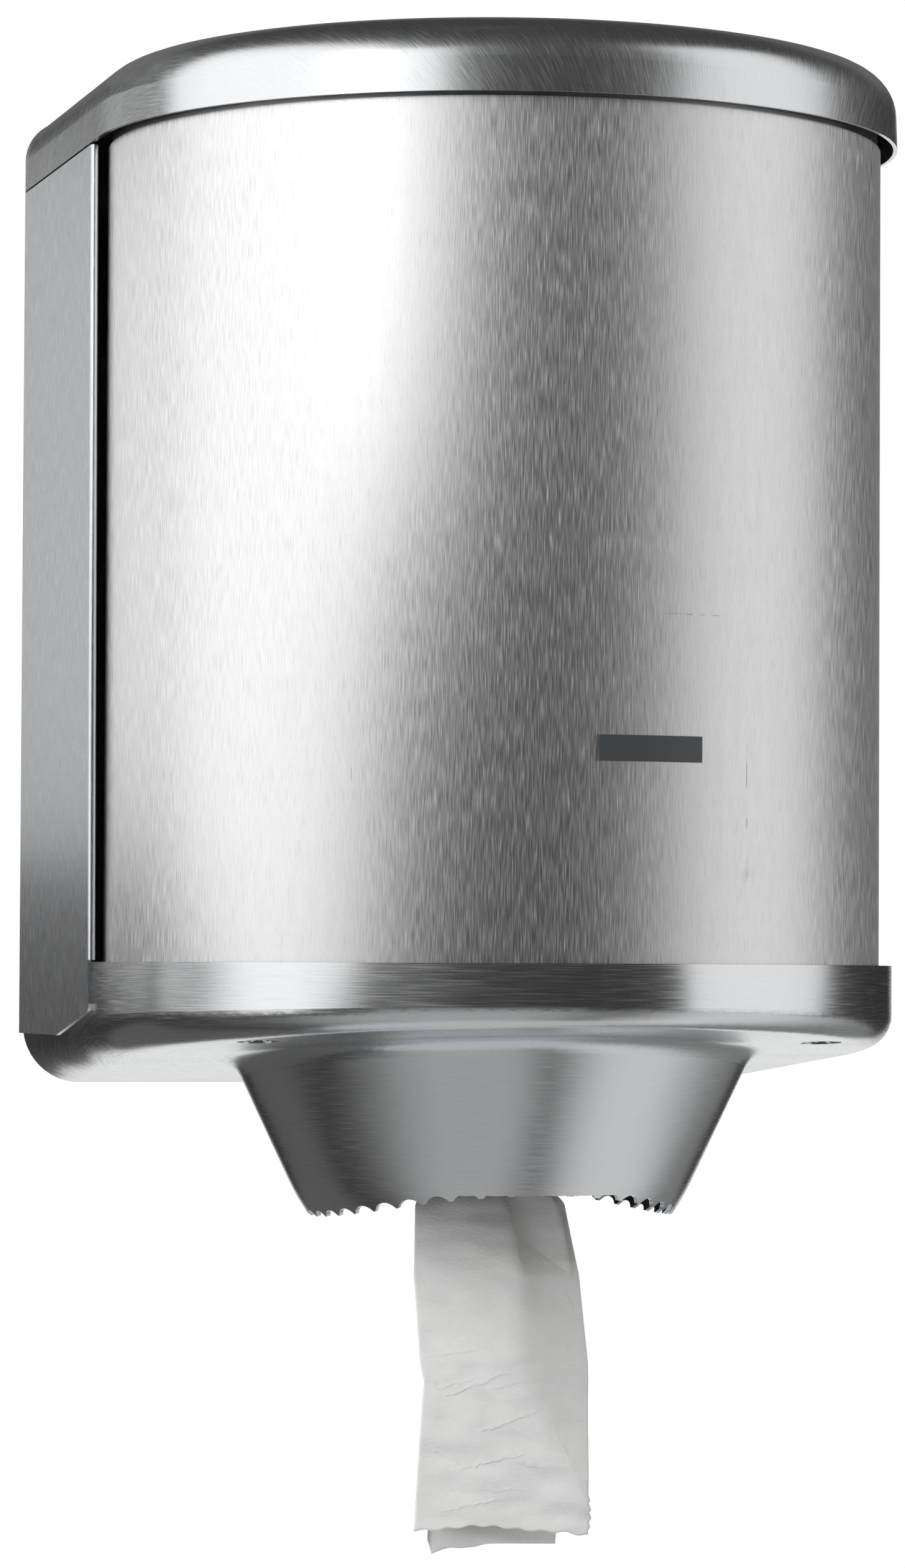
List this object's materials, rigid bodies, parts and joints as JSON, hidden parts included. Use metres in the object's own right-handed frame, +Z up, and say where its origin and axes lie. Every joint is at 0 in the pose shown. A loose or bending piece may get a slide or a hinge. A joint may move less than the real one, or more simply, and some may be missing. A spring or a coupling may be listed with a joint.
{
  "type": "paper towel dispenser",
  "caption": "Wall-hung steel centre-pull paper towel dispenser with a turning cylindrical door, drawn cap and bowl, and a funnel with a scalloped mouth.",
  "frame": {"origin": "middle of the four wall holes, on the rear face of the back plate", "axes": "+X to the right of someone who faces the dispenser, +Y into the wall, +Z up"},
  "size_m": [0.24, 0.241, 0.4414],
  "materials": {
    "housing_steel": "satin, fine upright grain",
    "cap_steel": "satin, grain that follows the drawn corner",
    "bowl_steel": "satin, grain round the bowl and funnel",
    "door_steel": "satin, fine upright grain",
    "plain_steel": "plain mill finish",
    "fastener_steel": "bright",
    "lock_chrome": "polished",
    "nozzle_plastic": "smooth matte",
    "glide_plastic": "waxy",
    "seal_rubber": "matte",
    "plate_grey": "matt dark grey, bare",
    "paper": "soft crepe paper"
  },
  "bodies": {
    "root": {"back_plate": "housing_steel", "top_cap": "cap_steel", "bottom_bowl": "bowl_steel", "upper_track": "plain_steel", "roll_platform": "plain_steel", "front_sleeves": "plain_steel", "rear_brackets": "plain_steel", "rear_sleeves": "plain_steel", "stop_posts": "plain_steel", "lock_nut": "plain_steel", "front_rivets": "fastener_steel", "rear_screws": "fastener_steel", "rear_nuts": "fastener_steel", "nozzle_screws": "fastener_steel", "cap_rivets": "fastener_steel", "lock_housing": "lock_chrome", "feed_nozzle": "nozzle_plastic", "left_side_seal": "seal_rubber", "right_side_seal": "seal_rubber", "stop_pads": "seal_rubber", "paper_roll": "paper", "paper_tail": "paper"},
    "door": {"door_shell": "door_steel", "door_upper_hoop": "plain_steel", "door_lower_hoop": "plain_steel", "door_glides": "glide_plastic", "door_edge_bars": "plain_steel", "door_stop_tab": "plain_steel", "name_plate": "plate_grey"},
    "lock": {"lock_plug": "lock_chrome", "lock_cam": "lock_chrome", "cam_screw": "fastener_steel"}
  },
  "joints": [
    {"name": "door_turn", "type": "hinge", "parent": "root", "child": "door", "pos_m": [0, -0.121, 0], "axis": [0, 0, 1], "range_deg": [0, 180]},
    {"name": "lock_turn", "type": "hinge", "parent": "root", "child": "lock", "pos_m": [0, -0.209, 0.137], "axis": [0, 0, -1], "range_deg": [0, 90]}
  ]
}
